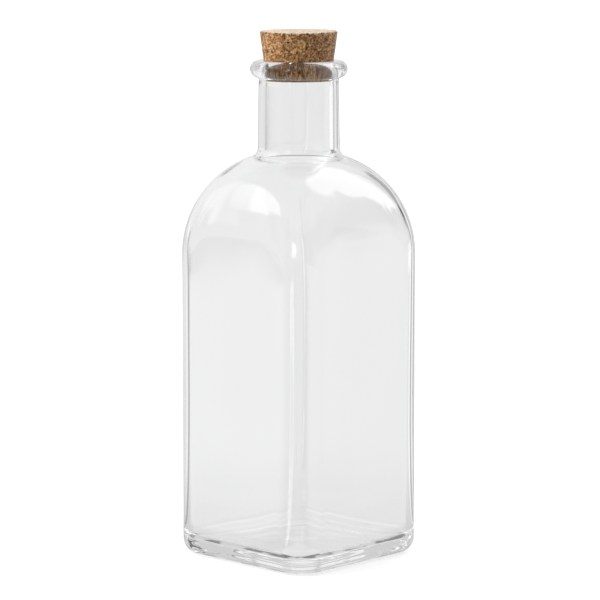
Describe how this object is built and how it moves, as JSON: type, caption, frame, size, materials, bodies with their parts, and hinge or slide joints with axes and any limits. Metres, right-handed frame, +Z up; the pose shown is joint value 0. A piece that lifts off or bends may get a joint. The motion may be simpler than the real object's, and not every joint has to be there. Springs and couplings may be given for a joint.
{
  "type": "square glass bottle with cork stopper",
  "caption": "Square clear glass bottle of half a litre with rounded shoulders, a round neck with a bead lip, and a tapered cork stopper that lifts out.",
  "frame": {"origin": "centre of the base, in the plane that the bottle stands on", "axes": "+Z up along the axis of the neck; X and Y square to the flat sides"},
  "size_m": [0.068, 0.068, 0.1937],
  "materials": {
    "glass": "clear, polished, colourless glass",
    "cork": "agglomerated cork, dull, with fine granules and pits"
  },
  "bodies": {
    "glass": {"bottle": "glass"},
    "cork": {"stopper": "cork"}
  },
  "joints": [
    {"name": "stopper_pull", "type": "slide", "parent": "glass", "child": "cork", "axis": [0, 0, 1], "range_m": [0, 0.06]}
  ]
}
